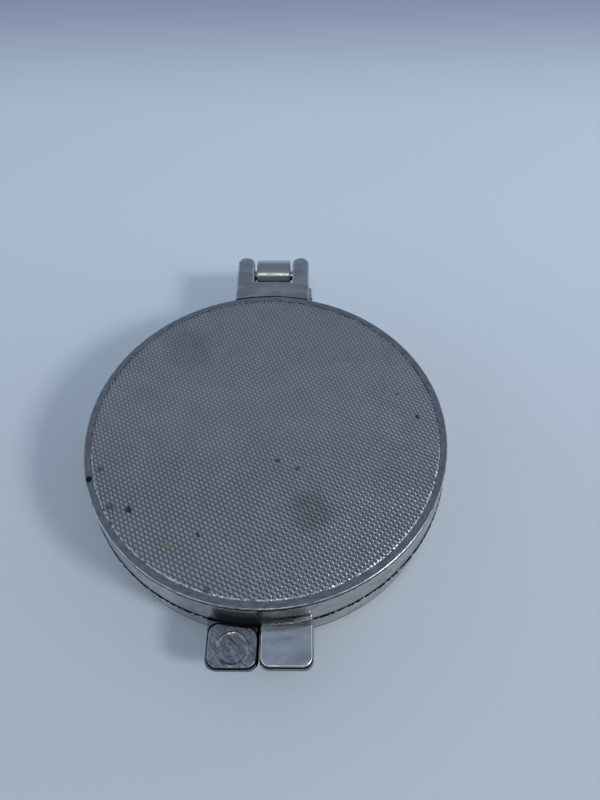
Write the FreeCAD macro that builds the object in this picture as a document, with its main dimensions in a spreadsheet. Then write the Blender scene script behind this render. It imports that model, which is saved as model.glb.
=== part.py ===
"""A round waffle iron: two cast half shells hinged at the back, each with a tab at the front.

Both halves are drawn in the same half frame: Z runs from the outer face (0) to the joint plane
(half_height), the disc's axis is Z, the hinge is at +Y and the tab at -Y, left of the axis. The
lower half stands as drawn. The upper half is turned half round about Y and put on top of it.
Millimetres throughout.
"""

import FreeCAD, Part
import os

import Sketcher
from FreeCAD import Placement, Rotation, Vector

DIMENSIONS = [
    # The two half shells
    ("face_radius", 60.0, "upper half's outer face, to the edge of the smooth rim"),
    ("wall_flare", 0.8, "draft of the wall, how much its radius grows to the joint plane"),
    ("lower_margin", 0.4, "how much the lower half's wall stands out past the upper half's"),
    ("half_height", 12.7, "thickness of one half"),
    ("rim_width", 2.3, "smooth rim round the knurled plate"),
    ("rim_round", 0.35, "rounding of the outer face's edge"),
    ("joint_chamfer", 0.35, "chamfer of both halves along the joint"),
    ("cavity_radius", 55.0, "inside of the wall"),
    ("web_thickness", 2.0, "floor between the knurled plate and the grid"),
    # Knurled plates
    ("plate_thickness", 1.6, "knurled plate, flush with the rim"),
    ("plate_seam", 0.03, "radial seam between plate and rim"),
    # Waffle grids
    ("grid_clearance", 0.2, "radial gap between grid and wall"),
    ("grid_base", 2.0, "grid plate without its pegs"),
    ("peg_height", 3.9, "pegs above the grid plate"),
    ("peg_field_radius", 51.5, "edge of the field of pegs"),
    ("cell_pitch", 13.0, "peg to peg"),
    ("channel_mouth", 4.6, "channel between pegs, at their tips"),
    ("channel_floor", 3.0, "channel between pegs, at their feet"),
    ("channel_count", 7, "channels each way"),
    # Grid screws
    ("screw_radius", 1.5, "shank"),
    ("screw_head_radius", 2.8, "countersunk head"),
    ("screw_head_height", 1.5, "countersunk head"),
    ("screw_length", 6.2, "over all, head and shank"),
    ("screw_clearance", 0.1, "radial gap round a screw"),
    ("socket_radius", 1.15, "hexagon socket, to its corners"),
    ("socket_depth", 0.9, "hexagon socket"),
    # Tabs
    ("tab_inner", 0.1, "tab's side next to the disc's centre plane"),
    ("tab_outer", 15.6, "tab's far side"),
    ("tab_front", 73.4, "tab's front edge"),
    ("tab_root", 55.6, "tab's end inside the wall"),
    ("tab_thickness", 3.8, "tab, outwards from the joint plane"),
    ("tab_draft", 7.0, "draft of the tab's sides in degrees"),
    ("tab_corner", 2.8, "tab's front corners"),
    ("tab_edge", 0.4, "rounding of the tab's outer edges"),
    ("tab_fillet", 0.8, "fillet where the tab's outer face meets the wall"),
    # Thumb pads and their rivets
    ("pad_inset", 0.6, "tab left bare round the pad"),
    ("pad_rise", 1.2, "pad's thickness"),
    ("pad_wall_gap", 1.0, "between the upper half's wall and the pad's curved rear edge"),
    ("pad_corner", 3.1, "pad's corners"),
    ("pad_edge", 0.35, "rounding of the pad's upper edge"),
    ("rivet_radius", 4.9, "rivet head"),
    ("rivet_ring", 0.45, "width of the raised ring round the rivet's dish"),
    ("rivet_dish", 0.25, "depth of the dish in the rivet head"),
    ("rivet_shank_radius", 2.5, "rivet shank"),
    ("rivet_length", 3.0, "over all, head and shank"),
    ("rivet_offset", 67.6, "rivet's distance in front of the disc's axis"),
    # Hinge
    ("pin_distance", 80.0, "hinge axis behind the disc's axis"),
    ("pin_rise", 4.7, "hinge axis above the joint plane"),
    ("pin_radius", 2.0, "hinge pin"),
    ("pin_inset", 0.6, "pin's end inside the ear's side"),
    ("pin_chamfer", 0.4, "chamfer of the pin's ends"),
    ("running_gap", 0.05, "radial gap between pin and bush"),
    ("bush_radius", 3.0, "outside of the bush"),
    ("bracket_drop", 1.0, "brackets lie this far inside the outer faces"),
    ("bracket_root", 58.2, "brackets' end inside the wall"),
    ("bracket_edge", 0.9, "rounding of the brackets' edges"),
    ("ear_half_span", 14.4, "half the distance over both ears"),
    ("ear_reach", 3.6, "ears' tips behind the hinge axis"),
    ("slot_half_width", 7.7, "half the slot between the ears"),
    ("slot_floor", 69.5, "bottom of the slot, from the disc's axis"),
    ("knuckle_half_width", 6.8, "half the knuckle"),
    ("knuckle_radius", 6.2, "knuckle"),
    ("knuckle_edge", 0.5, "rounding of the knuckle's ends"),
    ("web_front", 75.0, "front of the web under the knuckle"),
    ("foot_half_width", 15.9, "half the lower bracket"),
    ("foot_rear", 81.3, "rear of the lower bracket"),
    ("foot_step", 72.0, "step in the lower bracket that clears the ears"),
    ("foot_step_drop", 3.2, "depth of that step"),
]

# A cutting tool runs this far past the surfaces that it cuts.
OVERRUN = 1.0
# Screws sit over the pegs at this many half pitches each way.
SCREW_CELLS = 5
# Two lengths closer than this are the same when an edge is looked up.
SAME = 1e-3

ALONG_X = Rotation(Vector(0, 1, 0), 90)
UPRIGHT = Rotation()
TURNED_OVER = Rotation(Vector(0, 1, 0), 180)


class Size:
    """A length with its value and the spreadsheet expression that gives it."""

    def __init__(self, value, text):
        self.value = value
        self.text = text

    def combine(self, other, sign, value):
        """The size that an operation on this size and another gives."""
        other = as_size(other)
        return Size(value(self.value, other.value), f"({self.text} {sign} {other.text})")

    def __add__(self, other):
        return self.combine(other, "+", lambda a, b: a + b)

    def __sub__(self, other):
        return self.combine(other, "-", lambda a, b: a - b)

    def __mul__(self, other):
        return self.combine(other, "*", lambda a, b: a * b)

    def __truediv__(self, other):
        return self.combine(other, "/", lambda a, b: a / b)

    def __neg__(self):
        return Size(-self.value, f"(0 - {self.text})")


def as_size(number):
    """A plain number as a size, and a size as it is."""
    return number if isinstance(number, Size) else Size(number, repr(number))


def write_sheet(doc):
    """Writes the driving dimensions into a spreadsheet and returns them as sizes by name."""
    sheet = doc.addObject("Spreadsheet::Sheet", "Sizes")
    sizes = {}
    for row, (alias, value, meaning) in enumerate(DIMENSIONS, start=1):
        sheet.set(f"A{row}", alias)
        sheet.set(f"B{row}", str(value))
        sheet.set(f"C{row}", meaning)
        sheet.setAlias(f"B{row}", alias)
        sizes[alias] = Size(value, f"Sizes.{alias}")
    doc.recompute()
    return sizes


document = FreeCAD.newDocument("WaffleIron")
size = write_sheet(document)

web_top = size["plate_thickness"] + size["web_thickness"]
grid_top = web_top + size["grid_base"]
peg_top = grid_top + size["peg_height"]
joint_radius = size["face_radius"] + size["wall_flare"]
lower_pin_height = size["half_height"] + size["pin_rise"]
upper_pin_height = size["half_height"] - size["pin_rise"]
tab_middle = (size["tab_inner"] + size["tab_outer"]) / -2


# ---- Part primitives and booleans, with their sizes bound to the sheet ----


def bind(thing, **properties):
    """Binds properties to sizes. A double underscore in a name stands for a dot."""
    for name, length in properties.items():
        thing.setExpression(name.replace("__", "."), as_size(length).text)


def place(thing, x, y, z, rotation=UPRIGHT):
    """Puts a thing at a point given by sizes."""
    thing.Placement = Placement(Vector(), rotation)
    bind(thing, Placement__Base__x=x, Placement__Base__y=y, Placement__Base__z=z)
    return thing


def box(name, x, y, z):
    """A box between the low and the high size of each pair."""
    solid = document.addObject("Part::Box", name)
    bind(solid, Length=x[1] - x[0], Width=y[1] - y[0], Height=z[1] - z[0])
    return place(solid, x[0], y[0], z[0])


def cylinder(name, radius, length, at, rotation=UPRIGHT):
    """A cylinder that starts at a point and runs along Z, or as turned."""
    solid = document.addObject("Part::Cylinder", name)
    bind(solid, Radius=radius, Height=length)
    return place(solid, *at, rotation)


def cone(name, start_radius, end_radius, length, at):
    """A cone that starts at a point and runs along Z."""
    solid = document.addObject("Part::Cone", name)
    bind(solid, Radius1=start_radius, Radius2=end_radius, Height=length)
    return place(solid, *at)


def fuse(name, *members):
    joined = document.addObject("Part::MultiFuse", name)
    joined.Shapes = list(members)
    joined.Refine = True
    return joined


def cut(name, base, tool):
    rest = document.addObject("Part::Cut", name)
    rest.Base = base
    rest.Tool = tool
    return rest


def group(name, members):
    """Separate solids kept together as one sub-part."""
    together = document.addObject("Part::Compound", name)
    together.Links = members
    return together


def round_edges(name, base, radius, wanted):
    """Rounds the edges of base for which wanted(edge) is true.

    The list of rounded edges holds plain numbers, so the radius is read from the size itself.
    """
    document.recompute()
    numbers = [n for n, edge in enumerate(base.Shape.Edges, start=1) if wanted(edge)]
    rounded = document.addObject("Part::Fillet", name)
    rounded.Base = base
    rounded.Edges = [(number, radius.value, radius.value) for number in numbers]
    return rounded


# ---- PartDesign bodies ----


def new_body(name):
    return document.addObject("PartDesign::Body", name)


def sketch_on(body, role, offset=0.0):
    """An empty sketch on one of the body's own origin planes, moved along the plane's normal."""
    sketch = body.newObject("Sketcher::SketchObject", f"{body.Name}_sketch")
    plane = next(f for f in body.Origin.OriginFeatures if f.Role == role)
    sketch.AttachmentSupport = [(plane, "")]
    sketch.MapMode = "FlatFace"
    bind(sketch, AttachmentOffset__Base__z=offset)
    return sketch


def fix_point(sketch, shape, point, x, y):
    """Pins one point of a sketch to two sizes measured from the sketch's origin."""
    for kind, length in (("DistanceX", x), ("DistanceY", y)):
        length = as_size(length)
        number = sketch.addConstraint(Sketcher.Constraint(kind, -1, 1, shape, point, length.value))
        sketch.setExpression(f"Constraints[{number}]", length.text)


def draw_circle(sketch, radius, x=0.0, y=0.0):
    centre = Vector(as_size(x).value, as_size(y).value, 0)
    shape = sketch.addGeometry(Part.Circle(centre, Vector(0, 0, 1), radius.value), False)
    fix_point(sketch, shape, 3, x, y)
    number = sketch.addConstraint(Sketcher.Constraint("Radius", shape, radius.value))
    sketch.setExpression(f"Constraints[{number}]", radius.text)


def draw_outline(sketch, points):
    """A closed outline of straight lines through points given as pairs of sizes."""
    corners = [Vector(as_size(x).value, as_size(y).value, 0) for x, y in points]
    lines = []
    for start, end in zip(corners, corners[1:] + corners[:1]):
        lines.append(sketch.addGeometry(Part.LineSegment(start, end), False))
    for line, following in zip(lines, lines[1:] + lines[:1]):
        sketch.addConstraint(Sketcher.Constraint("Coincident", line, 2, following, 1))
    for line, (x, y) in zip(lines, points):
        fix_point(sketch, line, 1, x, y)


def draw_rectangle(sketch, x, y):
    draw_outline(sketch, [(x[0], y[0]), (x[1], y[0]), (x[1], y[1]), (x[0], y[1])])


def add_feature(body, kind, sketch, **properties):
    """A sketch-based feature at the end of the body."""
    feature = body.newObject(f"PartDesign::{kind}", f"{body.Name}_{kind}")
    feature.Profile = sketch
    bind(feature, **properties)
    body.Tip = feature
    return feature


def revolve(body, sketch):
    """Turns a sketch on the XZ plane once round Z."""
    feature = add_feature(body, "Revolution", sketch)
    feature.ReferenceAxis = (sketch, ["V_Axis"])
    feature.Angle = 360
    return feature


def cut_through(body, sketch):
    """A pocket through everything on both sides of its sketch."""
    feature = add_feature(body, "Pocket", sketch)
    feature.SideType = "Symmetric"
    feature.Type = "ThroughAll"
    return feature


def round_body(body, radius, wanted):
    """Rounds those edges of the body's last feature for which wanted(edge) is true."""
    document.recompute()
    base = body.Tip
    names = [f"Edge{n}" for n, edge in enumerate(base.Shape.Edges, start=1) if wanted(edge)]
    feature = body.newObject("PartDesign::Fillet", f"{body.Name}_Fillet")
    feature.Base = (base, names)
    bind(feature, Radius=radius)
    body.Tip = feature
    return feature


def same(first, second):
    return abs(first - as_size(second).value) < SAME


def level(edge, height):
    """Whether an edge lies flat at one height."""
    bounds = edge.BoundBox
    return same(bounds.ZMin, height) and same(bounds.ZMax, height)


def is_ring(edge, radius):
    """Whether an edge is a full circle of this radius."""
    return isinstance(edge.Curve, Part.Circle) and edge.Closed and same(edge.Curve.Radius, radius)


# ---- Sub-parts, drawn in the half frame ----


def shell_ring(name, margin):
    """Wall, rim and floor of a half: one turned profile, its wall moved out by the margin."""
    body = new_body(name)
    sketch = sketch_on(body, "XZ_Plane")
    seat_radius = size["face_radius"] - size["rim_width"]
    rim_radius = size["face_radius"] + margin
    wall_radius = joint_radius + margin
    chamfer = size["joint_chamfer"]
    draw_outline(
        sketch,
        [
            (0.0, size["plate_thickness"]),
            (seat_radius, size["plate_thickness"]),
            (seat_radius, 0.0),
            (rim_radius, 0.0),
            (wall_radius, size["half_height"] - chamfer),
            (wall_radius - chamfer, size["half_height"]),
            (size["cavity_radius"], size["half_height"]),
            (size["cavity_radius"], web_top),
            (0.0, web_top),
        ],
    )
    revolve(body, sketch)
    round_body(
        body, size["rim_round"], lambda edge: is_ring(edge, rim_radius) and level(edge, 0.0)
    )
    return body


def tab(name):
    """The tab's plate, with drafted sides, from inside the wall to the tab's front."""
    body = new_body(name)
    sketch = sketch_on(body, "XY_Plane", size["half_height"])
    draw_rectangle(
        sketch, (-size["tab_outer"], -size["tab_inner"]), (-size["tab_front"], -size["tab_root"])
    )
    plate = add_feature(
        body, "Pad", sketch, Length=size["tab_thickness"], TaperAngle=-size["tab_draft"]
    )
    plate.Reversed = True
    round_body(body, size["tab_corner"], lambda edge: is_corner(edge) and is_front(edge))
    outer_face = size["half_height"] - size["tab_thickness"]
    round_body(body, size["tab_edge"], lambda edge: level(edge, outer_face) and not is_root(edge))
    return body


def is_corner(edge):
    """Whether an edge joins the tab's or the pad's two faces, so that it isn't level."""
    return edge.BoundBox.ZLength > size["pad_rise"].value - SAME


def is_front(edge):
    """Whether an edge is nearer the tab's front than its root."""
    return edge.BoundBox.Center.y < -(size["tab_front"] + size["tab_root"]).value / 2


def is_root(edge):
    """Whether an edge is the tab's end inside the wall."""
    return edge.BoundBox.YLength < SAME and not is_front(edge)


def is_tab_root(edge):
    """Whether an edge of the casting runs where the tab's outer face meets the wall."""
    bounds = edge.BoundBox
    outer_face = (size["half_height"] - size["tab_thickness"]).value
    widest = joint_radius + size["lower_margin"]
    at_wall = bounds.YMax < -size["tab_root"].value and bounds.YMin > -widest.value
    at_face = bounds.ZMin > outer_face - SAME and bounds.ZMax < outer_face + size["tab_edge"].value
    return at_wall and at_face


def lower_hinge(name):
    """The lower bracket: a foot, a web and the knuckle that carries the bush."""
    span = (-size["foot_half_width"], size["foot_half_width"])
    knuckle_span = (-size["knuckle_half_width"], size["knuckle_half_width"])
    step_height = size["half_height"] - size["foot_step_drop"]
    foot = box(
        f"{name}_foot",
        span,
        (size["bracket_root"], size["foot_step"]),
        (size["bracket_drop"], size["half_height"]),
    )
    heel = box(
        f"{name}_heel",
        span,
        (size["bracket_root"], size["foot_rear"]),
        (size["bracket_drop"], step_height),
    )
    web = box(
        f"{name}_web",
        knuckle_span,
        (size["web_front"], size["foot_rear"]),
        (size["bracket_drop"], lower_pin_height),
    )
    knuckle = cylinder(
        f"{name}_knuckle",
        size["knuckle_radius"],
        size["knuckle_half_width"] * 2,
        (knuckle_span[0], size["pin_distance"], lower_pin_height),
        ALONG_X,
    )
    rounded_knuckle = round_edges(
        f"{name}_rounded_knuckle",
        knuckle,
        size["knuckle_edge"],
        lambda edge: is_ring(edge, size["knuckle_radius"]),
    )
    foot_and_heel = fuse(f"{name}_foot_and_heel", foot, heel)
    rounded_foot = round_edges(
        f"{name}_rounded_foot",
        foot_and_heel,
        size["bracket_edge"],
        lambda edge: edge.BoundBox.Center.y > size["foot_step"].value + SAME,
    )
    return fuse(f"{name}_whole", rounded_foot, web, rounded_knuckle)


def upper_hinge(name):
    """The upper bracket: a flat block with a slot between two ears, whose tips are round in plan."""
    span = (-size["ear_half_span"], size["ear_half_span"])
    depth = (size["bracket_drop"], size["half_height"])
    tip_radius = (size["ear_half_span"] - size["slot_half_width"]) / 2
    tip_centre = size["pin_distance"] + size["ear_reach"] - tip_radius
    parts = [box(f"{name}_block", span, (size["bracket_root"], size["slot_floor"]), depth)]
    for side_name, left_edge in (
        ("left", -size["ear_half_span"]),
        ("right", size["slot_half_width"]),
    ):
        ear_span = (left_edge, left_edge + tip_radius * 2)
        parts.append(
            box(f"{name}_{side_name}_ear", ear_span, (size["bracket_root"], tip_centre), depth)
        )
        parts.append(
            cylinder(
                f"{name}_{side_name}_tip",
                tip_radius,
                depth[1] - depth[0],
                (left_edge + tip_radius, tip_centre, depth[0]),
            )
        )
    sharp = fuse(f"{name}_sharp", *parts)
    return round_edges(f"{name}_whole", sharp, size["bracket_edge"], is_bracket_rim)


def is_bracket_rim(edge):
    """Whether an edge of the upper bracket runs round its outer face, outside the wall."""
    outside = edge.BoundBox.YMax > size["bracket_root"].value + SAME
    return outside and level(edge, size["bracket_drop"])


def screw_places():
    """The four screw places of a half, each over a peg."""
    reach = size["cell_pitch"] * SCREW_CELLS / 2
    return [(reach, reach), (-reach, reach), (-reach, -reach), (reach, -reach)]


def screw_solid(name, x, y, clearance):
    """Head and shank of a countersunk screw, head outwards, grown by a clearance."""
    start = size["plate_thickness"]
    head = cone(
        f"{name}_head",
        size["screw_head_radius"] + clearance,
        size["screw_radius"] + clearance,
        size["screw_head_height"],
        (x, y, start),
    )
    shank = cylinder(
        f"{name}_shank", size["screw_radius"] + clearance, size["screw_length"], (x, y, start)
    )
    return fuse(name, head, shank)


def screw(name, x, y):
    """One grid screw with its hexagon socket."""
    socket = document.addObject("Part::Prism", f"{name}_socket")
    socket.Polygon = 6
    bind(socket, Circumradius=size["socket_radius"], Height=size["socket_depth"] + OVERRUN)
    place(socket, x, y, size["plate_thickness"] - OVERRUN)
    return cut(f"{name}_driven", screw_solid(name, x, y, 0.0), socket)


def hinge_bore(name, radius, height):
    """A bore along the hinge axis, right through both ears or the knuckle."""
    reach = size["foot_half_width"] + OVERRUN
    return cylinder(name, radius, reach * 2, (-reach, size["pin_distance"], height), ALONG_X)


def shell(name, hinge, bore_radius, pin_height, margin):
    """A half shell: ring, tab and hinge bracket in one casting, with its bores."""
    sharp = fuse(f"{name}_sharp", shell_ring(f"{name}_ring", margin), tab(f"{name}_tab"), hinge)
    casting = round_edges(f"{name}_casting", sharp, size["tab_fillet"], is_tab_root)
    bores = [hinge_bore(f"{name}_hinge_bore", bore_radius, pin_height)]
    for number, (x, y) in enumerate(screw_places(), start=1):
        bores.append(screw_solid(f"{name}_hole_{number}", x, y, size["screw_clearance"]))
    bores.append(rivet_shank(f"{name}_rivet_bore"))
    return cut(name, casting, fuse(f"{name}_bores", *bores))


def knurled_plate(name):
    """The plate that carries the knurl, let into the outer face."""
    body = new_body(name)
    sketch = sketch_on(body, "XY_Plane")
    draw_circle(sketch, size["face_radius"] - size["rim_width"] - size["plate_seam"])
    add_feature(body, "Pad", sketch, Length=size["plate_thickness"])
    return body


def waffle_grid(name):
    """A round plate with a square field of tapered pegs, and blind holes for its screws."""
    body = new_body(name)
    base = sketch_on(body, "XY_Plane", web_top)
    draw_circle(base, size["cavity_radius"] - size["grid_clearance"])
    add_feature(body, "Pad", base, Length=size["grid_base"])
    field = sketch_on(body, "XY_Plane", grid_top)
    draw_circle(field, size["peg_field_radius"])
    add_feature(body, "Pad", field, Length=size["peg_height"])
    for role in ("XZ_Plane", "YZ_Plane"):
        cut_channels(body, role)
    holes = sketch_on(body, "XY_Plane", web_top)
    for x, y in screw_places():
        draw_circle(holes, size["screw_radius"] + size["screw_clearance"], x, y)
    depth = size["screw_length"] - size["web_thickness"] + size["screw_clearance"]
    add_feature(body, "Pocket", holes, Length=depth).Reversed = True
    return body


def cut_channels(body, role):
    """Cuts one channel along the plane's normal and repeats it over the field of pegs."""
    reach = size["cell_pitch"] * (size["channel_count"] - 1)
    middle = -reach / 2
    sketch = sketch_on(body, role)
    draw_outline(
        sketch,
        [
            (middle - size["channel_floor"] / 2, grid_top),
            (middle + size["channel_floor"] / 2, grid_top),
            (middle + size["channel_mouth"] / 2, peg_top),
            (middle - size["channel_mouth"] / 2, peg_top),
        ],
    )
    channel = cut_through(body, sketch)
    pattern = body.newObject("PartDesign::LinearPattern", f"{body.Name}_channels")
    pattern.Originals = [channel]
    pattern.Direction = (sketch, ["H_Axis"])
    bind(pattern, Length=reach, Occurrences=size["channel_count"])
    body.Tip = pattern


def grid_screws(name):
    """The four screws that hold a grid, as one sub-part of separate solids."""
    places = enumerate(screw_places(), start=1)
    return group(name, [screw(f"{name}_{number}", x, y) for number, (x, y) in places])


def thumb_pad(name):
    """A rounded square pad on the tab, whose rear edge follows the wall."""
    body = new_body(name)
    inset = size["pad_inset"]
    outline = sketch_on(body, "XY_Plane", size["half_height"])
    draw_rectangle(
        outline,
        (inset - size["tab_outer"], -(size["tab_inner"] + inset)),
        (inset - size["tab_front"], -size["tab_root"]),
    )
    add_feature(body, "Pad", outline, Length=size["pad_rise"])
    wall_side = sketch_on(body, "XY_Plane", size["half_height"])
    draw_circle(wall_side, joint_radius + size["pad_wall_gap"])
    cut_through(body, wall_side)
    round_body(body, size["pad_corner"], is_corner)
    pad_top = size["half_height"] + size["pad_rise"]
    round_body(body, size["pad_edge"], lambda edge: level(edge, pad_top))
    seat = sketch_on(body, "XY_Plane", size["half_height"])
    draw_circle(seat, size["rivet_radius"], tab_middle, -size["rivet_offset"])
    cut_through(body, seat)
    return body


def rivet_shank(name):
    """The rivet's shank, which also cuts its own hole in the tab."""
    length = size["rivet_length"] - size["pad_rise"]
    at = (tab_middle, -size["rivet_offset"], size["half_height"] - length)
    return cylinder(name, size["rivet_shank_radius"], length, at)


def pad_rivet(name):
    """A rivet with a broad head as thick as the pad, dished inside a raised ring."""
    at = (tab_middle, -size["rivet_offset"], size["half_height"])
    head = cylinder(f"{name}_head", size["rivet_radius"], size["pad_rise"], at)
    ring = size["rivet_radius"] - size["rivet_ring"]
    dish_floor = size["half_height"] + size["pad_rise"] - size["rivet_dish"]
    dish = cone(
        f"{name}_dish",
        ring - size["rivet_dish"],
        ring,
        size["rivet_dish"],
        (tab_middle, -size["rivet_offset"], dish_floor),
    )
    return cut(name, fuse(f"{name}_blank", head, rivet_shank(f"{name}_shank")), dish)


def hinge_bush(name):
    """The bush pressed into the knuckle, in which the pin turns."""
    span = size["knuckle_half_width"]
    at = (-span, size["pin_distance"], lower_pin_height)
    outside = cylinder(f"{name}_outside", size["bush_radius"], span * 2, at, ALONG_X)
    bore = hinge_bore(f"{name}_bore", size["pin_radius"] + size["running_gap"], lower_pin_height)
    return cut(name, outside, bore)


def hinge_pin(name):
    """The pin, pressed into both ears, with chamfered ends."""
    half = size["ear_half_span"] - size["pin_inset"]
    chamfer = size["pin_chamfer"]
    body = new_body(name)
    sketch = sketch_on(body, "XZ_Plane")
    draw_outline(
        sketch,
        [
            (0.0, -half),
            (size["pin_radius"] - chamfer, -half),
            (size["pin_radius"], chamfer - half),
            (size["pin_radius"], half - chamfer),
            (size["pin_radius"] - chamfer, half),
            (0.0, half),
        ],
    )
    revolve(body, sketch)
    return place(body, 0.0, size["pin_distance"], lower_pin_height, ALONG_X)


def half_parts(side, hinge, bore_radius, pin_height, margin):
    """The sub-parts of one half, by node name, in the half frame."""
    return {
        f"{side}_shell": shell(f"{side}_shell", hinge, bore_radius, pin_height, margin),
        f"{side}_knurled_plate": knurled_plate(f"{side}_knurled_plate"),
        f"{side}_waffle_grid": waffle_grid(f"{side}_waffle_grid"),
        f"{side}_grid_screws": grid_screws(f"{side}_grid_screws"),
        f"{side}_thumb_pad": thumb_pad(f"{side}_thumb_pad"),
        f"{side}_pad_rivet": pad_rivet(f"{side}_pad_rivet"),
    }


def turn_over(part):
    """Moves a sub-part of a half from the half frame to its place in the upper half."""
    return place(part, 0.0, 0.0, size["half_height"] * 2, TURNED_OVER)


def build():
    """Builds every sub-part and returns them by node name."""
    parts = half_parts(
        "lower",
        lower_hinge("lower_hinge"),
        size["bush_radius"],
        lower_pin_height,
        size["lower_margin"],
    )
    upper = half_parts(
        "upper",
        upper_hinge("upper_hinge"),
        size["pin_radius"],
        upper_pin_height,
        as_size(0.0),
    )
    for name, part in upper.items():
        parts[name] = turn_over(part)
    parts["hinge_bush"] = hinge_bush("hinge_bush")
    parts["hinge_pin"] = hinge_pin("hinge_pin")
    return parts


def check(parts):
    """Stops on any failed object or bad shape."""
    for thing in document.Objects:
        if "Invalid" in thing.State or "Error" in thing.State:
            raise RuntimeError(f"{thing.Name} failed: {thing.State}")
    for name, part in parts.items():
        if part.Shape.isNull() or not part.Shape.isValid():
            raise RuntimeError(f"{name} has a bad shape")


def export(parts):
    """Writes one STEP file for each sub-part."""
    os.makedirs("parts", exist_ok=True)
    for name, part in parts.items():
        part.Label = name
        part.Shape.exportStep(f"parts/{name}.step")
        bounds = part.Shape.BoundBox
        print(f"{name}: {len(part.Shape.Solids)} solid(s), {part.Shape.Volume:.0f} mm3, {bounds}")


sub_parts = build()
document.recompute()
check(sub_parts)
export(sub_parts)
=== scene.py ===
"""Looks of a small round stove-top waffle iron in cast aluminium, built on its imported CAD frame.

Everything is in metres in the frame's own axes: +Z up, the two tabs towards -Y, the hinge towards +Y.
The two knurled face plates and the two rivets are replaced by detailed meshes. Every other CAD node
keeps its shape and gets a finish. Both halves share each finish, so the finishes measure heights from
the joint plane, upwards or downwards.
"""

import math

import bmesh
import bpy
import numpy as np
from mathutils import Matrix, Vector, noise

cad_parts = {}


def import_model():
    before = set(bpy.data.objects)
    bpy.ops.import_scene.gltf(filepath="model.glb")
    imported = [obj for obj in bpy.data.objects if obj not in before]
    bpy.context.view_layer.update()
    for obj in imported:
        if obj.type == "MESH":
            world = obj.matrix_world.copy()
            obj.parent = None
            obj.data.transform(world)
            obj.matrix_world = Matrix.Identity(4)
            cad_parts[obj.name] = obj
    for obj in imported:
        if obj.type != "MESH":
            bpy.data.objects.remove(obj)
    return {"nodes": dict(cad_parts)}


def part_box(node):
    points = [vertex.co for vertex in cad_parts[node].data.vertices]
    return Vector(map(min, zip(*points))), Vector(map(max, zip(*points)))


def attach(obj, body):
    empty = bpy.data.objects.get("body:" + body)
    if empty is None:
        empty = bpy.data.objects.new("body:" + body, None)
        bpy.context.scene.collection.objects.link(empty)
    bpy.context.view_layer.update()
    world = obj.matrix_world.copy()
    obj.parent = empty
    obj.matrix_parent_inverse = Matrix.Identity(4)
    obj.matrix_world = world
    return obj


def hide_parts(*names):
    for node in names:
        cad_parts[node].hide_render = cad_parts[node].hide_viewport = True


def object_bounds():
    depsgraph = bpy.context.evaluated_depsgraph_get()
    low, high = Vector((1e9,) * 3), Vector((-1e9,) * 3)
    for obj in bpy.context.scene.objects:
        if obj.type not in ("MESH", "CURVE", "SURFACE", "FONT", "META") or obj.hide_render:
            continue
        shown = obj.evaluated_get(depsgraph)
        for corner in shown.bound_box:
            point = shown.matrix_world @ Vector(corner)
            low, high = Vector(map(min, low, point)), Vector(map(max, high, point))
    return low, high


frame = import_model()
cad_low, cad_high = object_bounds()

MM = 0.001
NODES = frame["nodes"]
# The joint plane's height and the thickness of one half.
MIDDLE = (cad_low.z + cad_high.z) / 2
HALF_HEIGHT = (cad_high.z - cad_low.z) / 2
# The wall's radius at the joint. The lower half stands out a little more than the upper half.
WALL_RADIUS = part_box("upper_shell")[1].x
LOWER_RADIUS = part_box("lower_shell")[1].x
# Radius of the outer edge of the flat face, from the wall's draft, and of the knurled plate in it.
FACE_RADIUS = WALL_RADIUS - 0.8 * MM
PLATE_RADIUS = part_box("upper_knurled_plate")[1].x
# How far a tab's outer face lies from the joint.
TAB_HEIGHT = 3.8 * MM
# Outline of a thumb pad: its corners' radius and the radius of its curved rear edge.
PAD_CORNER = 3.1 * MM
PAD_REAR = WALL_RADIUS + 1.0 * MM
# Where the brackets begin behind the wall, where the knuckle begins, and half its width.
BRACKET_START = 58.5 * MM
KNUCKLE_START = 70 * MM
KNUCKLE_HALF_WIDTH = 7.4 * MM
# Where the painted black shade line under the rim begins on the wall, from the joint.
RIM_LINE = HALF_HEIGHT - 1.3 * MM


# ---------------------------------------------------------------- helpers


def mesh_object(name, mesh):
    """A new object that holds the mesh, linked to the scene."""
    made = bpy.data.objects.new(name, mesh)
    bpy.context.scene.collection.objects.link(made)
    return made


def shade_smooth(mesh):
    """Smooth shading on every face."""
    mesh.polygons.foreach_set("use_smooth", [True] * len(mesh.polygons))


def half_turn():
    """The half turn about Y through the middle height, which swaps the two halves."""
    up = Matrix.Translation((0, 0, MIDDLE))
    return up @ Matrix.Rotation(math.pi, 4, "Y") @ up.inverted()


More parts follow.
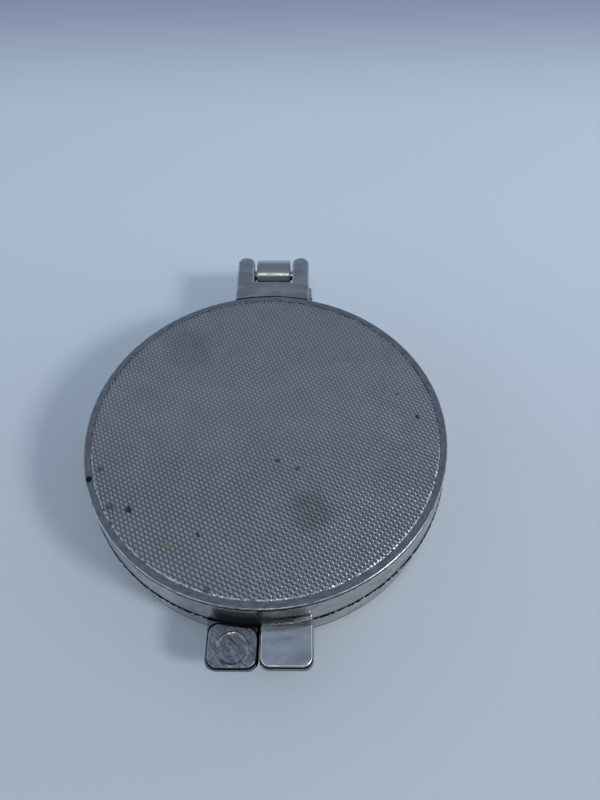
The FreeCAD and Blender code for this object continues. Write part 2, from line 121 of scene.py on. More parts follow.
class Nodes:
    """A material's node tree, with short calls for the few nodes that the finishes use."""

    def __init__(self, name):
        self.material = bpy.data.materials.new(name)
        self.material.use_nodes = True
        self.tree = self.material.node_tree
        self.shader = self.tree.nodes["Principled BSDF"]
        self.place = self.tree.nodes.new("ShaderNodeTexCoord").outputs["Object"]

    def link(self, value, socket):
        """Puts a number, a colour or another node's output on a socket."""
        if isinstance(value, bpy.types.NodeSocket):
            self.tree.links.new(value, socket)
        else:
            socket.default_value = value

    def math(self, operation, first, second=0.0):
        """One arithmetic step."""
        node = self.tree.nodes.new("ShaderNodeMath")
        node.operation = operation
        self.link(first, node.inputs[0])
        self.link(second, node.inputs[1])
        return node.outputs[0]

    def ramp(self, value, low, high, to_low=0.0, to_high=1.0):
        """A smooth step of value from low to high."""
        node = self.tree.nodes.new("ShaderNodeMapRange")
        node.interpolation_type = "SMOOTHSTEP"
        self.link(value, node.inputs["Value"])
        node.inputs["From Min"].default_value = low
        node.inputs["From Max"].default_value = high
        node.inputs["To Min"].default_value = to_low
        node.inputs["To Max"].default_value = to_high
        return node.outputs["Result"]

    def band(self, value, low, high, soft):
        """One where value lies between low and high, with soft ends."""
        rise = self.ramp(value, low - soft, low + soft)
        return self.math("MULTIPLY", rise, self.ramp(value, high + soft, high - soft))

    def all_of(self, *masks):
        """The product of masks and strengths."""
        product = masks[0]
        for mask in masks[1:]:
            product = self.math("MULTIPLY", product, mask)
        return product

    def mix(self, share, first, second):
        """A colour between first and second."""
        node = self.tree.nodes.new("ShaderNodeMix")
        node.data_type = "RGBA"
        self.link(share, node.inputs[0])
        self.link(first, node.inputs[6])
        self.link(second, node.inputs[7])
        return node.outputs[2]

    def layer(self, colour, tint, *masks):
        """The colour with a tint laid over it, as far as every mask and strength allows."""
        return self.mix(self.all_of(*masks), colour, tint)

    def axes(self):
        """The x, y and z of the point, in metres."""
        node = self.tree.nodes.new("ShaderNodeSeparateXYZ")
        self.link(self.place, node.inputs[0])
        return node.outputs

    def height(self):
        """How far the point lies above or below the joint."""
        return self.math("ABSOLUTE", self.math("SUBTRACT", self.axes()[2], MIDDLE))

    def from_axis(self, x=0.0, y=0.0):
        """The distance from the upright line through x and y."""
        mapping = self.tree.nodes.new("ShaderNodeMapping")
        mapping.inputs["Scale"].default_value = (1, 1, 0)
        mapping.inputs["Location"].default_value = (-x, -y, 0)
        self.link(self.place, mapping.inputs["Vector"])
        node = self.tree.nodes.new("ShaderNodeVectorMath")
        node.operation = "LENGTH"
        self.link(mapping.outputs[0], node.inputs[0])
        return node.outputs["Value"]

    def noise_at(self, place, size, detail, distortion=0.0):
        """Noise read at that place, with features of about that size in metres, from 0 to 1."""
        node = self.tree.nodes.new("ShaderNodeTexNoise")
        node.inputs["Scale"].default_value = 1 / size
        node.inputs["Detail"].default_value = detail
        node.inputs["Distortion"].default_value = distortion
        self.link(place, node.inputs["Vector"])
        return node.outputs[0]

    def noise(self, size, detail, distortion=0.0, stretch=(1, 1, 1)):
        """Plain noise, longer along an axis whose stretch is below one."""
        mapping = self.tree.nodes.new("ShaderNodeMapping")
        mapping.inputs["Scale"].default_value = stretch
        self.link(self.place, mapping.inputs["Vector"])
        return self.noise_at(mapping.outputs[0], size, detail, distortion)

    def strokes(self, size, turn, stretch):
        """Noise drawn out by stretch along a direction turned from +X, in degrees."""
        mapping = self.tree.nodes.new("ShaderNodeMapping")
        mapping.vector_type = "TEXTURE"
        mapping.inputs["Rotation"].default_value = (0, 0, math.radians(turn))
        mapping.inputs["Scale"].default_value = (stretch, 1, 1)
        self.link(self.place, mapping.inputs["Vector"])
        return self.noise_at(mapping.outputs[0], size, detail=4.0, distortion=0.8)

    def turned(self, size, stretch):
        """Noise drawn out round the disc's axis, as fine turning marks."""
        x, y, _ = self.axes()
        arc = self.math("MULTIPLY", self.math("ARCTAN2", y, x), FACE_RADIUS / stretch)
        place = self.tree.nodes.new("ShaderNodeCombineXYZ")
        self.link(self.from_axis(), place.inputs[0])
        self.link(arc, place.inputs[1])
        return self.noise_at(place.outputs[0], size, detail=4.0)

    def ragged(self, size, detail, reach):
        """An uneven offset, half of reach at most each way, which frays the edge of a mask."""
        return self.math("MULTIPLY", self.math("SUBTRACT", self.noise(size, detail), 0.5), reach)

    def dulled(self, roughness, colour):
        """The roughness, raised where the colour is black dirt, so that dirt doesn't shine at a slant."""
        level = self.tree.nodes.new("ShaderNodeRGBToBW")
        self.link(colour, level.inputs[0])
        return self.math("MAXIMUM", roughness, self.ramp(level.outputs[0], 0.16, 0.04, 0.0, 0.95))

    def bump(self, height, depth, below=None):
        """A bump of that depth in metres, on top of another bump."""
        node = self.tree.nodes.new("ShaderNodeBump")
        node.inputs["Strength"].default_value = 1.0
        node.inputs["Distance"].default_value = depth
        self.link(height, node.inputs["Height"])
        if below is not None:
            self.link(below, node.inputs["Normal"])
        return node.outputs[0]

    def finish(self, colour, roughness, normal, metallic=1.0):
        """Connects the shader and returns the material."""
        self.link(colour, self.shader.inputs["Base Color"])
        self.link(roughness, self.shader.inputs["Roughness"])
        self.link(normal, self.shader.inputs["Normal"])
        self.shader.inputs["Metallic"].default_value = metallic
        return self.material


def grey(level, blue=0.0):
    """A grey colour, a little blue or, below zero, a little warm."""
    return (level * (1 - blue), level, level * (1 + blue), 1.0)


# ---------------------------------------------------------------- finishes

# Colours of dirt and of old batter, and of painted shade and a painted dark reflection.
BLACK = (0.012, 0.012, 0.012, 1.0)
BROWN = (0.10, 0.065, 0.03, 1.0)
STRAW = (0.30, 0.30, 0.10, 1.0)
OLIVE = (0.07, 0.085, 0.07, 1.0)
DARK_REFLECTION = (0.022, 0.025, 0.030, 1.0)
TARNISH = (0.26, 0.24, 0.21, 1.0)
SHADED_SIDE = (0.22, 0.24, 0.21, 1.0)
BAKED = (0.16, 0.12, 0.085, 1.0)
# A black mark on the rim: x and y in millimetres.
RIM_STAIN = (-55.5, -19.7)
# Old batter stains on the knurl: x, y and radius in millimetres, colour and strength.
STAINS = (
    (15.0, -30.0, 9.0, OLIVE, 0.30),
    (-30.0, 34.0, 12.0, OLIVE, 0.20),
    (-52.5, -16.0, 1.3, BROWN, 0.6),
    (-47.0, -29.0, 1.6, BROWN, 0.55),
    (-41.0, -30.0, 1.5, BLACK, 0.8),
    (-28.0, -41.0, 1.5, STRAW, 0.7),
    (-19.0, -38.0, 0.7, BLACK, 0.7),
    (4.0, -12.5, 0.8, BLACK, 0.7),
    (6.0, -13.8, 0.6, STRAW, 0.7),
    (10.5, -15.5, 0.8, BLACK, 0.6),
    (51.0, 4.5, 0.9, BLACK, 0.8),
    (45.0, 14.0, 0.7, BLACK, 0.5),
    (-15.0, -54.5, 1.3, BROWN, 0.7),
)


def shell_finish():
    """Cast aluminium: stained side walls, a grimy joint line, handled tabs, a bright rim edge that is partly
    worn and partly painted highlight, and painted light and shade on the tabs and on the wall under the rim
    and over the tabs.

    The knuckle between the ears is turned and polished.
    """
    n = Nodes("cast_shell")
    x, y, _ = n.axes()
    radius = n.from_axis()
    height = n.height()
    mottle = n.noise(5 * MM, detail=5, distortion=0.6)
    smear = n.noise(3.5 * MM, detail=6, distortion=0.5, stretch=(0.4, 1.0, 1.0))
    grain = n.noise(0.45 * MM, detail=3)
    marks = n.turned(0.5 * MM, stretch=6)
    at_wall = n.band(radius, FACE_RADIUS - 0.05 * MM, LOWER_RADIUS + 0.2 * MM, soft=0.05 * MM)
    on_tab = n.ramp(y, -(LOWER_RADIUS + 0.3 * MM), -(LOWER_RADIUS + 0.8 * MM))
    on_bracket = n.ramp(y, BRACKET_START, BRACKET_START + 2 * MM)
    between_ears = n.ramp(n.math("ABSOLUTE", x), KNUCKLE_HALF_WIDTH, KNUCKLE_HALF_WIDTH - 0.2 * MM)
    on_knuckle = n.all_of(between_ears, n.ramp(y, KNUCKLE_START, KNUCKLE_START + 0.5 * MM))

    worked = n.ramp(marks, 0.3, 0.7)
    handled = n.ramp(smear, 0.3, 0.7)
    colour = n.mix(worked, grey(0.22, 0.07), grey(0.37, 0.07))
    colour = n.mix(at_wall, colour, n.mix(mottle, grey(0.40), grey(0.60)))
    colour = n.mix(on_bracket, colour, n.mix(handled, grey(0.34, 0.06), grey(0.50, 0.06)))
    colour = n.mix(on_tab, colour, n.mix(handled, grey(0.50, 0.07), grey(0.74, 0.05)))
    colour = n.mix(on_knuckle, colour, grey(0.44, 0.05))
    colour = n.layer(colour, TARNISH, n.ramp(mottle, 0.40, 0.75), at_wall, 0.7)
    # Painted light and shade on the tabs.
    colour = tab_light_and_shade(n, colour, on_tab, x, y, radius, height)
    # Residue along the joint, painted shade under the rim and a painted dark reflection over the tabs.
    colour = wall_grime_and_shade(n, colour, at_wall, x, y, height)
    from_stain = n.from_axis(RIM_STAIN[0] * MM, RIM_STAIN[1] * MM)
    colour = n.layer(colour, BLACK, n.ramp(from_stain, 1.5 * MM, 0.8 * MM, 0.0, 0.9))
    # Bright rim edge: partly wear, partly a painted highlight.
    colour = rim_wear_and_highlight(n, colour, y, radius, height)

    roughness = n.math("ADD", n.ramp(mottle, 0.3, 0.7, 0.20, 0.32), n.math("MULTIPLY", grain, 0.08))
    rough_cast = n.math("SUBTRACT", 1.0, on_knuckle)
    on_face = n.ramp(height, HALF_HEIGHT - 0.2 * MM, HALF_HEIGHT - 0.1 * MM)
    relief = n.bump(n.all_of(grain, rough_cast), 0.03 * MM)
    relief = n.bump(n.all_of(mottle, rough_cast), 0.12 * MM, relief)
    relief = n.bump(n.all_of(smear, on_tab), 0.10 * MM, relief)
    relief = n.bump(n.all_of(marks, on_face), 0.04 * MM, relief)
    return n.finish(colour, n.dulled(roughness, colour), relief)


def rim_wear_and_highlight(n, colour, y, radius, height):
    """A bright broken line along the outer edge of the rim, towards the front: partly wear and partly a
    painted highlight.
    """
    at_edge = n.ramp(radius, FACE_RADIUS - 0.42 * MM, FACE_RADIUS - 0.28 * MM)
    on_face = n.ramp(height, HALF_HEIGHT - 0.25 * MM, HALF_HEIGHT - 0.1 * MM)
    broken = n.ramp(n.noise(2.5 * MM, detail=4), 0.30, 0.55, 0.1, 0.7)
    return n.layer(colour, grey(0.80, 0.03), at_edge, on_face, n.ramp(y, 20 * MM, -10 * MM), broken)


def tab_light_and_shade(n, colour, on_tab, x, y, radius, height):
    """Painted light and shade on both tabs: a dark painted reflection of the wall by its root, painted
    highlights along the root and the outer edge, painted shade on the sides, and a darker face round the
    thumb pad with a painted shadow line along the pad and in the gap between the tabs.
    """
    frayed = n.math("ADD", radius, n.ragged(1.1 * MM, detail=4, reach=1.2 * MM))
    on_face = n.ramp(height, TAB_HEIGHT - 0.3 * MM, TAB_HEIGHT - 0.1 * MM)
    by_wall = n.ramp(frayed, LOWER_RADIUS + 2.6 * MM, LOWER_RADIUS + 2.1 * MM)
    root = n.band(frayed, LOWER_RADIUS + 0.35 * MM, LOWER_RADIUS + 0.65 * MM, soft=0.1 * MM)
    edge = n.band(height, TAB_HEIGHT - 0.27 * MM, TAB_HEIGHT - 0.05 * MM, soft=0.03 * MM)
    high_side = n.band(height, 1.6 * MM, TAB_HEIGHT - 0.36 * MM, soft=0.06 * MM)
    low_side = n.band(height, 0.15 * MM, 1.5 * MM, soft=0.1 * MM)
    # Painted light and shade on the tabs: a dark painted reflection of the wall by its root, painted
    # highlights along the root and the outer edge, and painted shade on the upper and lower parts of the
    # sides.
    colour = n.layer(colour, grey(0.20, 0.04), by_wall, on_tab, on_face, 0.55)
    colour = n.layer(colour, grey(0.95), root, n.ramp(y, 0.0, -50 * MM), on_face)
    colour = n.layer(colour, grey(0.92, 0.02), edge, on_tab)
    colour = n.layer(colour, grey(0.03), high_side, on_tab)
    colour = n.layer(colour, SHADED_SIDE, low_side, on_tab)

    past_wall = n.ramp(radius, WALL_RADIUS + 0.05 * MM, WALL_RADIUS + 0.15 * MM)
    at_joint = n.ramp(height, 0.30 * MM, 0.15 * MM)
    margin = n.all_of(past_wall, n.ramp(y, -40 * MM, -50 * MM), at_joint)
    by_pad = n.ramp(pad_distance(n, x, y, radius), 0.50 * MM, 0.28 * MM)
    between_tabs = n.band(x, -0.9 * MM, 0.9 * MM, soft=0.1 * MM)
    # The face round the pad is darker, with a painted black shadow line along the pad's edge and in the gap
    # between the tabs.
    colour = n.layer(colour, grey(0.30, 0.05), margin)
    return n.layer(colour, grey(0.008), n.math("MAXIMUM", by_pad, between_tabs), margin)


def pad_distance(n, x, y, radius):
    """How far a point of a tab lies outside the outline of the thumb pad, seen from above."""
    low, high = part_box("lower_thumb_pad")
    half_width = (high.x - low.x) / 2
    side = n.math("SUBTRACT", n.math("ABSOLUTE", x), -(low.x + high.x) / 2)
    side = n.math("ADD", n.math("ABSOLUTE", side), PAD_CORNER - half_width)
    front = n.math("SUBTRACT", n.math("MULTIPLY", y, -1.0), -low.y)
    rear = n.math("SUBTRACT", PAD_REAR, radius)
    along = n.math("ADD", n.math("MAXIMUM", front, rear), PAD_CORNER)
    square = n.math("POWER", n.math("MAXIMUM", side, 0.0), 2.0)
    square = n.math("ADD", square, n.math("POWER", n.math("MAXIMUM", along, 0.0), 2.0))
    return n.math("SUBTRACT", n.math("SQRT", square), PAD_CORNER)


def wall_grime_and_shade(n, colour, at_wall, x, y, height):
    """Black residue along the joint with burrs in it, a painted black shade line under the rim, and a painted
    dark reflection on the wall over the tabs.
    """
    ragged = n.ragged(1.0 * MM, detail=5, reach=2.4 * MM)
    frayed = n.math("ADD", height, ragged)
    burred = n.ramp(n.noise(0.7 * MM, detail=2), 0.63, 0.70)
    low_edge = n.ramp(n.math("ADD", height, n.math("MULTIPLY", ragged, 0.5)), RIM_LINE - 0.2 * MM, RIM_LINE)
    high_edge = n.ramp(height, HALF_HEIGHT - 0.30 * MM, HALF_HEIGHT - 0.45 * MM)
    colour = n.layer(colour, BLACK, n.ramp(frayed, 0.46 * MM, 0.26 * MM), at_wall)
    colour = n.layer(colour, grey(0.70), burred, n.band(height, 0.15 * MM, 0.75 * MM, soft=0.1 * MM), at_wall)
    # Painted shade: a black line on the wall under the rim.
    colour = n.layer(colour, BLACK, low_edge, high_edge, at_wall, 0.92)

    # Painted dark reflection on the wall over both tabs.
    along = n.math("ADD", x, ragged)
    over_left = n.ramp(along, -14.5 * MM, -12.0 * MM)
    over_left = n.all_of(over_left, n.ramp(x, -0.2 * MM, -0.8 * MM), n.ramp(frayed, 11.0 * MM, 9.5 * MM))
    over_right = n.all_of(n.ramp(along, 14.0 * MM, 9.0 * MM), n.ramp(x, -0.8 * MM, -0.2 * MM), 0.85)
    over_tabs = n.math("ADD", over_left, over_right)
    thickness = n.ramp(frayed, 5.0 * MM, 8.5 * MM, 0.98, 0.86)
    return n.layer(colour, DARK_REFLECTION, n.ramp(y, 0.0, -50 * MM), at_wall, over_tabs, thickness)


def knurl_finish():
    """The knurled faces: dull crests, grooves darkened partly by residue and partly as painted shade, more so
    towards the front, and a few old batter stains.

    The plate's sloping edge is burnished and carries a painted highlight towards the front, and the front of
    the face is worn smoother than its back.
    """
    n = Nodes("knurled_face")
    y = n.axes()[1]
    patch = n.noise(9 * MM, detail=4, distortion=0.5)
    grain = n.noise(0.3 * MM, detail=2)
    in_groove = n.ramp(n.height(), HALF_HEIGHT - 0.08 * MM, HALF_HEIGHT - 0.28 * MM)
    at_edge = n.ramp(n.from_axis(), PLATE_RADIUS - 0.60 * MM, PLATE_RADIUS - 0.40 * MM)
    broken = n.ramp(n.noise(1.5 * MM, detail=4), 0.35, 0.60)
    burnished_and_highlit = n.all_of(at_edge, broken, n.ramp(y, 5 * MM, -20 * MM))
    crest = n.mix(patch, grey(0.36, 0.08), grey(0.51, 0.08))
    # The grooves are darkened partly by residue and partly as painted shade, more so towards the front.
    colour = n.layer(crest, grey(0.07, 0.06), in_groove, n.ramp(y, 15 * MM, -35 * MM, 0.42, 0.64))
    # Painted highlight on the burnished edge, towards the front.
    colour = n.layer(colour, grey(0.95), burnished_and_highlit)
    ragged = n.ragged(1.3 * MM, detail=4, reach=2.6 * MM)
    for x_mm, y_mm, radius_mm, tint, strength in STAINS:
        away = n.math("ADD", n.from_axis(x_mm * MM, y_mm * MM), ragged)
        radius = radius_mm * MM
        colour = n.layer(colour, tint, n.ramp(away, radius, 0.45 * radius, 0.0, strength))
    roughness = n.ramp(y, 10 * MM, -35 * MM, 0.42, 0.29)
    roughness = n.math("ADD", roughness, n.math("MULTIPLY", in_groove, 0.12))
    roughness = n.math("SUBTRACT", roughness, n.math("MULTIPLY", burnished_and_highlit, 0.10))
    return n.finish(colour, roughness, n.bump(grain, 0.02 * MM))


def satin_finish(name, level, rough):
    """Worked steel with fine scratches and faint clouding, about that bright and that rough."""
    n = Nodes(name)
    cloud = n.noise(3 * MM, detail=4, distortion=0.3)
    scratches = n.noise(0.5 * MM, detail=3, stretch=(0.12, 1.0, 1.0))
    colour = n.mix(cloud, grey(level * 0.85, 0.05), grey(level * 1.1, 0.05))
    clouded = n.ramp(cloud, 0.3, 0.7, rough - 0.05, rough + 0.05)
    roughness = n.math("ADD", clouded, n.math("MULTIPLY", scratches, 0.06))
    relief = n.bump(scratches, 0.02 * MM)
    return n.finish(colour, roughness, n.bump(cloud, 0.05 * MM, relief))


def smeared_finish(name, dark, light, depth):
    """Soft metal smeared by use: crossing strokes between two greys, with a relief of that depth."""
    n = Nodes(name)
    across = n.strokes(1.0 * MM, turn=-50, stretch=4.0)
    along = n.strokes(0.7 * MM, turn=62, stretch=2.5)
    smear = n.math("ADD", n.math("MULTIPLY", across, 0.6), n.math("MULTIPLY", along, 0.4))
    colour = n.mix(n.ramp(smear, 0.38, 0.62), grey(dark, 0.07), grey(light, 0.06))
    roughness = n.ramp(smear, 0.3, 0.7, 0.38, 0.22)
    return n.finish(colour, roughness, n.bump(smear, depth))


def grid_finish():
    """The waffle grids: cast aluminium browned by use, darkest in the channels."""
    n = Nodes("grid_metal")
    mottle = n.noise(4 * MM, detail=5, distortion=0.4)
    grain = n.noise(0.4 * MM, detail=3)
    depth = n.math("ADD", n.height(), n.math("MULTIPLY", mottle, 2 * MM))
    crest = n.mix(mottle, grey(0.48, -0.03), grey(0.62, -0.02))
    colour = n.layer(crest, BAKED, n.ramp(depth, 4.5 * MM, 8.5 * MM), 0.8)
    roughness = n.ramp(mottle, 0.3, 0.7, 0.32, 0.5)
    relief = n.bump(grain, 0.03 * MM)
    return n.finish(colour, roughness, n.bump(mottle, 0.1 * MM, relief))


def brass_finish():
    """The bush: dull brass."""
    n = Nodes("bush_brass")
    cloud = n.noise(1.5 * MM, detail=4)
    colour = n.mix(cloud, (0.50, 0.34, 0.13, 1.0), (0.66, 0.48, 0.20, 1.0))
    return n.finish(colour, n.ramp(cloud, 0.3, 0.7, 0.28, 0.42), n.bump(cloud, 0.02 * MM))


# ---------------------------------------------------------------- knurled face plates

# Two families of straight grooves cut the face into diamonds. Each has the direction across its
# grooves, in degrees from +X, and both have the same pitch.
GROOVE_ACROSS = (20.7, 65.4)
GROOVE_PITCH = 1.25 * MM
GROOVE_DEPTH = 0.30 * MM
# Where a groove's flank meets the flat of the next diamond, as a share of the pitch.
GROOVE_SHARE = 0.37
# How far a diamond's middle stands above its edges, how uneven the points are, and the draw of that.
CROWN = 0.04 * MM
UNEVEN = 0.03 * MM
UNEVEN_SEED = 7
# Width and depth of the worn slope round the plate's edge. It is at its full depth at the front.
EDGE_FALL = 0.45 * MM
EDGE_DROP = 0.26 * MM
# Points nearer to each other than this are one point.
SAME_POINT = 0.002 * MM


def knurl_points(radius):
    """The lattice points of the knurl, as x and y, and how far each lies below the crests."""
    across = np.radians(GROOVE_ACROSS)
    waves = np.stack([np.cos(across), np.sin(across)], axis=1) / GROOVE_PITCH
    steps = (0.0, GROOVE_SHARE, 0.5, 1 - GROOVE_SHARE)
    count = int(math.ceil(radius / GROOVE_PITCH)) + 1
    phases = np.array([cell + step for cell in range(-count, count) for step in steps])
    first, second = np.meshgrid(phases, phases, indexing="ij")
    places = np.stack([first, second], axis=-1) @ np.linalg.inv(waves).T
    in_groove = np.isclose(first % 1, 0) | np.isclose(second % 1, 0)
    on_crown = np.isclose(first % 1, 0.5) & np.isclose(second % 1, 0.5)
    fall = np.where(in_groove, GROOVE_DEPTH, 0.0) + np.where(on_crown, 0.0, CROWN)
    return places, fall


def knurled_face(radius, top):
    """Points and four-sided faces of the round knurled face. Points past its edge are drawn in to it."""
    places, fall = knurl_points(radius)
    far = np.hypot(places[..., 0], places[..., 1])
    inside = far < radius
    quads = inside[:-1, :-1] | inside[1:, :-1] | inside[:-1, 1:] | inside[1:, 1:]
    used = np.zeros_like(inside)
    for corner in (used[:-1, :-1], used[1:, :-1], used[:-1, 1:], used[1:, 1:]):
        corner |= quads
    pull = np.where(inside, 1.0, radius / np.maximum(far, radius))
    places = places * pull[..., None]
    far = np.minimum(far, radius)
    fall = fall + np.random.default_rng(UNEVEN_SEED).uniform(0, UNEVEN, fall.shape)
    toward_front = np.clip(0.5 - places[..., 1] / radius, 0.1, 1)
    slope = np.clip((far - (radius - EDGE_FALL)) / EDGE_FALL, 0, 1) * EDGE_DROP * toward_front
    fall = np.maximum(fall, slope)
    number = np.full(used.shape, -1)
    number[used] = np.arange(used.sum())
    points = np.column_stack([places[used], top - fall[used]])
    i, j = np.nonzero(quads)
    faces = np.stack([number[i, j], number[i + 1, j], number[i + 1, j + 1], number[i, j + 1]], axis=1)
    return points, faces


def close_below(mesh, bottom):
    """Turns an open face into a closed plate, with an upright edge down to a flat bottom."""
    work = bmesh.new()
    work.from_mesh(mesh)
    bmesh.ops.remove_doubles(work, verts=work.verts, dist=SAME_POINT)
    rim_edges = [e for e in work.edges if e.is_boundary]
    skirt = bmesh.ops.extrude_edge_only(work, edges=rim_edges)["geom"]
    for vert in [g for g in skirt if isinstance(g, bmesh.types.BMVert)]:
        vert.co.z = bottom
    open_edges = [e for e in work.edges if e.is_boundary]
    bmesh.ops.holes_fill(work, edges=open_edges, sides=0)
    bmesh.ops.recalc_face_normals(work, faces=work.faces)
    work.to_mesh(mesh)
    work.free()


def knurled_plate(name, node, body, turned):
    """A closed plate with a knurled outer face. The lower one is the upper one turned over."""
    low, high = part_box(node)
    radius = (high.x - low.x) / 2
    thickness = high.z - low.z
    top = cad_high.z
    points, faces = knurled_face(radius, top)
    mesh = bpy.data.meshes.new(name)
    mesh.from_pydata(points.tolist(), [], faces.tolist())
    close_below(mesh, top - thickness)
    if turned:
        mesh.transform(half_turn())
    plate = mesh_object(name, mesh)
    plate.data.materials.append(finishes["knurled_face"])
    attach(plate, body)
    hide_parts(node)


# ---------------------------------------------------------------- rivets of the thumb pads

RIVET_RINGS = 34
RIVET_SPOKES = 120
# The raised ring: its width, how far its edges are rounded down, and the width of its inner slope.
RIVET_LIP = 0.55 * MM
RIVET_ROUND = 0.12 * MM
RIVET_SLOPE = 0.5 * MM
# The dish inside the ring: its mean depth and its relief.
RIVET_DISH = 0.28 * MM
RIVET_RELIEF = 0.225 * MM
# The head's thickness, and the shank's radius as a share of the head's.
RIVET_HEAD = 1.0 * MM
SHANK_SHARE = 0.45
# Fixes the offsets that noise_vector works with, which otherwise change from run to run.
RELIEF_SEED = 1
noise.seed_set(RELIEF_SEED)


def rivet_relief(x, y):
    """The smeared surface of the dish, as a height from about -1 to 1. Its strokes run aslant."""
    aslant = math.radians(-50)
    drawn_out = 2.2
    along = x * math.cos(aslant) + y * math.sin(aslant)
    across = y * math.cos(aslant) - x * math.sin(aslant)
    place = Vector((along / drawn_out, across, 0))
    place += noise.noise_vector(place / (3.0 * MM)) * 1.2 * MM
    broad = noise.noise(place / (1.5 * MM) + Vector((3.1, 0.4, 0.0)))
    fine = noise.noise(place / (0.8 * MM) + Vector((7.7, 2.0, 5.0)))
    return broad + 0.25 * fine


def rivet_fall(r, radius, x, y):
    """How far the head's surface lies below its top at the point x, y, which is r from the middle."""
    from_edge = radius - r
    if from_edge < RIVET_LIP:
        across = from_edge / RIVET_LIP
        return RIVET_ROUND * (2 * across - 1) ** 2
    into = min(1.0, (from_edge - RIVET_LIP) / RIVET_SLOPE)
    ease = into * into * (3 - 2 * into)
    return RIVET_ROUND + ease * (RIVET_DISH - RIVET_ROUND - RIVET_RELIEF * rivet_relief(x, y))


def ring_of_points(work, r, height_at):
    """A ring of points r from the middle, each at the height given for its x and y."""
    points = []
    for spoke in range(RIVET_SPOKES):
        angle = 2 * math.pi * spoke / RIVET_SPOKES
        x, y = r * math.cos(angle), r * math.sin(angle)
        points.append(work.verts.new((x, y, height_at(x, y))))
    return points


def rivet_mesh(name, radius, top, bottom):
    """The rivet's closed mesh about the Z axis: rings of points from the head's middle to the shank's end."""
    work = bmesh.new()
    rings = []
    for ring in range(1, RIVET_RINGS + 1):
        r = radius * ring / RIVET_RINGS
        rings.append(ring_of_points(work, r, lambda x, y: top - rivet_fall(r, radius, x, y)))
    middle = work.verts.new((0, 0, top - rivet_fall(0, radius, 0, 0)))
    under_head = top - RIVET_HEAD
    shank = radius * SHANK_SHARE
    for r, z in ((radius, under_head), (shank, under_head), (shank, bottom)):
        rings.append(ring_of_points(work, r, lambda x, y: z))
    for inner, outer in zip(rings, rings[1:]):
        for s in range(RIVET_SPOKES):
            t = (s + 1) % RIVET_SPOKES
            work.faces.new((inner[s], outer[s], outer[t], inner[t]))
    for s in range(RIVET_SPOKES):
        work.faces.new((middle, rings[0][s], rings[0][(s + 1) % RIVET_SPOKES]))
    work.faces.new(rings[-1][::-1])
    bmesh.ops.recalc_face_normals(work, faces=work.faces)
    mesh = bpy.data.meshes.new(name)
    work.to_mesh(mesh)
    work.free()
    return mesh


def rivet(name, node, body, turned):
    """A round rivet head with a raised ring and a rough dish, on its shank."""
    low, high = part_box(node)
    centre = (low + high) / 2
    radius = (high.x - low.x) / 2
    if turned:
        centre, low, high = half_turn() @ centre, half_turn() @ high, half_turn() @ low
    mesh = rivet_mesh(name, radius, high.z, low.z)
    mesh.transform(Matrix.Translation((centre.x, centre.y, 0)))
    if turned:
        mesh.transform(half_turn())
    shade_smooth(mesh)
    made = mesh_object(name, mesh)
    made.data.materials.append(finishes["rivet_metal"])
    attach(made, body)
    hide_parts(node)


# ---------------------------------------------------------------- carried-over CAD nodes


def dress_nodes():
    """Gives each CAD node that stays its finish."""
    slots = {
        "lower_shell": "cast_shell",
        "upper_shell": "cast_shell",
        "lower_waffle_grid": "grid_metal",
        "upper_waffle_grid": "grid_metal",
        "lower_grid_screws": "screw_steel",
        "upper_grid_screws": "screw_steel",
        "lower_thumb_pad": "pad_metal",
        "upper_thumb_pad": "pad_metal",
        "hinge_bush": "bush_brass",
        "hinge_pin": "pin_steel",
    }
    for name, slot in slots.items():
        node = NODES[name]
        node.data.materials.clear()
        node.data.materials.append(finishes[slot])


# ---------------------------------------------------------------- floor, light and camera

# The floor's half width, and where its painted pool of light in the middle and its painted shade at the back
# begin and end along Y.
FLOOR_REACH = 3.0
PAINTED_LIGHT_FROM, PAINTED_LIGHT_TO = -0.1, 0.16
PAINTED_SHADE_FROM, PAINTED_SHADE_TO = 0.22, 0.42
LAMP_DISTANCE = 1.6
LAMP_COLOUR = (1.0, 0.99, 0.97)
# The camera's place, its lens on a frame 36 mm high, and its tilt, turn and roll in degrees.
CAMERA_PLACE = (12.5 * MM, -109.1 * MM, 198.6 * MM)
FRAME_HEIGHT = 36
FOCAL_LENGTH = 27.57
TILT, TURN, ROLL = 34.76, 0.62, -0.32


def floor():
    """A plain pale floor under the iron, with a painted pool of light across its middle and painted shade at
    the back.
    """
    work = bmesh.new()
    bmesh.ops.create_grid(work, x_segments=8, y_segments=8, size=FLOOR_REACH)
    bmesh.ops.translate(work, verts=work.verts, vec=(0, 0, cad_low.z))
    mesh = bpy.data.meshes.new("floor")
    work.to_mesh(mesh)
    work.free()
    made = mesh_object("floor", mesh)
    n = Nodes("floor")
    y = n.axes()[1]
    cloud = n.noise(0.5, detail=2)
    fine = n.noise(1.5 * MM, detail=2)
    colour = n.mix(cloud, (0.67, 0.74, 0.80, 1.0), (0.71, 0.78, 0.84, 1.0))
    # Painted pool of light across the middle, then painted shade at the back.
    colour = n.mix(n.ramp(y, PAINTED_LIGHT_FROM, PAINTED_LIGHT_TO), colour, (0.80, 0.92, 1.0, 1.0))
    colour = n.mix(n.ramp(y, PAINTED_SHADE_FROM, PAINTED_SHADE_TO), colour, (0.42, 0.45, 0.60, 1.0))
    made.data.materials.append(n.finish(colour, 0.7, n.bump(fine, 0.02 * MM), metallic=0.0))


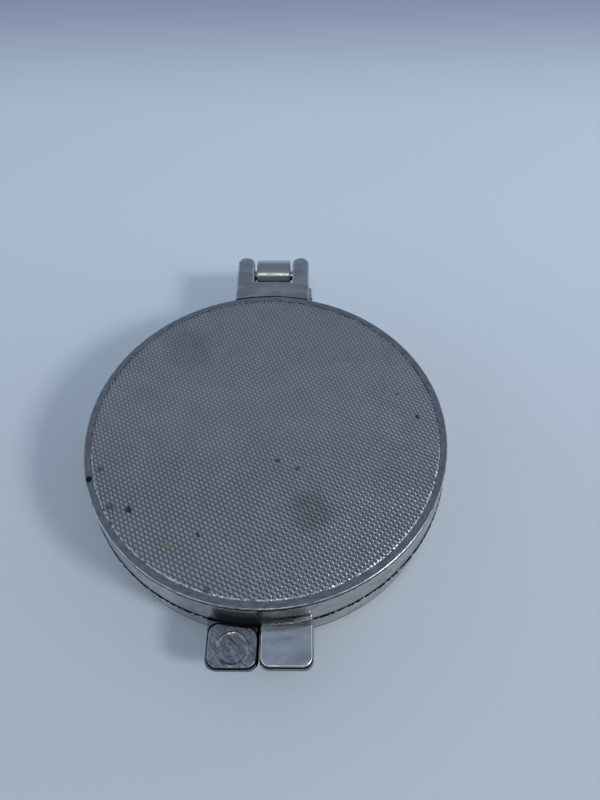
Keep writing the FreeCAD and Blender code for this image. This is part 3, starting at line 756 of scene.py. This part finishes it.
def direction_mask(tree, toward, inner, outer):
    """One inside a cone of directions about toward, falling to zero at its outer angle, in degrees."""
    place = tree.nodes.new("ShaderNodeTexCoord").outputs["Generated"]
    dot = tree.nodes.new("ShaderNodeVectorMath")
    dot.operation = "DOT_PRODUCT"
    tree.links.new(place, dot.inputs[0])
    dot.inputs[1].default_value = Vector(toward).normalized()
    ramp = tree.nodes.new("ShaderNodeMapRange")
    ramp.interpolation_type = "SMOOTHSTEP"
    tree.links.new(dot.outputs["Value"], ramp.inputs["Value"])
    ramp.inputs["From Min"].default_value = math.cos(math.radians(outer))
    ramp.inputs["From Max"].default_value = math.cos(math.radians(inner))
    return ramp.outputs["Result"]


def darken(tree, mix, toward, inner, outer, tint):
    """Sets a mix node to lay the tint over its first colour, inside a cone of directions."""
    mix.data_type = "RGBA"
    tree.links.new(direction_mask(tree, toward, inner, outer), mix.inputs[0])
    mix.inputs[7].default_value = tint


def world():
    """A soft studio room: pale near the horizon, dimmer overhead, darkest behind the camera."""
    made = bpy.data.worlds.new("studio")
    bpy.context.scene.world = made
    made.use_nodes = True
    tree = made.node_tree
    overhead = tree.nodes.new("ShaderNodeMix")
    darken(tree, overhead, (0, 0.25, 1), 42, 72, (0.26, 0.30, 0.38, 1.0))
    overhead.inputs[6].default_value = (0.70, 0.80, 0.98, 1.0)
    behind = tree.nodes.new("ShaderNodeMix")
    darken(tree, behind, (0.05, -0.85, 0.45), 20, 45, (0.015, 0.015, 0.02, 1.0))
    tree.links.new(overhead.outputs[2], behind.inputs[6])
    tree.links.new(behind.outputs[2], tree.nodes["Background"].inputs["Color"])


def soft_light(name, toward, size, power):
    """A rectangular softbox in that direction from the iron, facing it."""
    lamp = bpy.data.lights.new(name, "AREA")
    lamp.shape = "RECTANGLE"
    lamp.size, lamp.size_y = size
    lamp.energy = power
    lamp.color = LAMP_COLOUR
    made = bpy.data.objects.new(name, lamp)
    bpy.context.scene.collection.objects.link(made)
    made.location = Vector(toward).normalized() * LAMP_DISTANCE
    made.rotation_euler = (-made.location).to_track_quat("-Z", "Y").to_euler()


def camera():
    """The camera, above and in front of the iron and tilted down at it."""
    lens = bpy.data.cameras.new("camera")
    lens.sensor_fit = "AUTO"
    lens.sensor_width = FRAME_HEIGHT
    lens.lens = FOCAL_LENGTH
    lens.clip_start = 10 * MM
    made = bpy.data.objects.new("camera", lens)
    bpy.context.scene.collection.objects.link(made)
    made.location = CAMERA_PLACE
    look = Matrix.Rotation(math.radians(TURN), 4, "Z") @ Matrix.Rotation(math.radians(TILT), 4, "X")
    made.rotation_euler = (look @ Matrix.Rotation(math.radians(ROLL), 4, "Z")).to_euler()
    bpy.context.scene.camera = made


finishes = {
    "cast_shell": shell_finish(),
    "knurled_face": knurl_finish(),
    "grid_metal": grid_finish(),
    "screw_steel": satin_finish("screw_steel", level=0.5, rough=0.3),
    "pad_metal": smeared_finish("pad_metal", dark=0.25, light=0.52, depth=0.25 * MM),
    "rivet_metal": smeared_finish("rivet_metal", dark=0.20, light=0.52, depth=0.10 * MM),
    "bush_brass": brass_finish(),
    "pin_steel": satin_finish("pin_steel", level=0.55, rough=0.25),
}
dress_nodes()
knurled_plate("upper_knurl", "upper_knurled_plate", "upper_half", turned=False)
knurled_plate("lower_knurl", "lower_knurled_plate", "lower_half", turned=True)
rivet("lower_rivet", "lower_pad_rivet", "lower_half", turned=False)
rivet("upper_rivet", "upper_pad_rivet", "upper_half", turned=True)
floor()
world()
soft_light("key", toward=(0.71, -0.36, 0.60), size=(0.28, 0.28), power=7.2)
soft_light("fill", toward=(-0.04, -0.55, 0.83), size=(0.30, 0.20), power=1.6)
camera()
bpy.context.scene.view_settings.view_transform = "Standard"
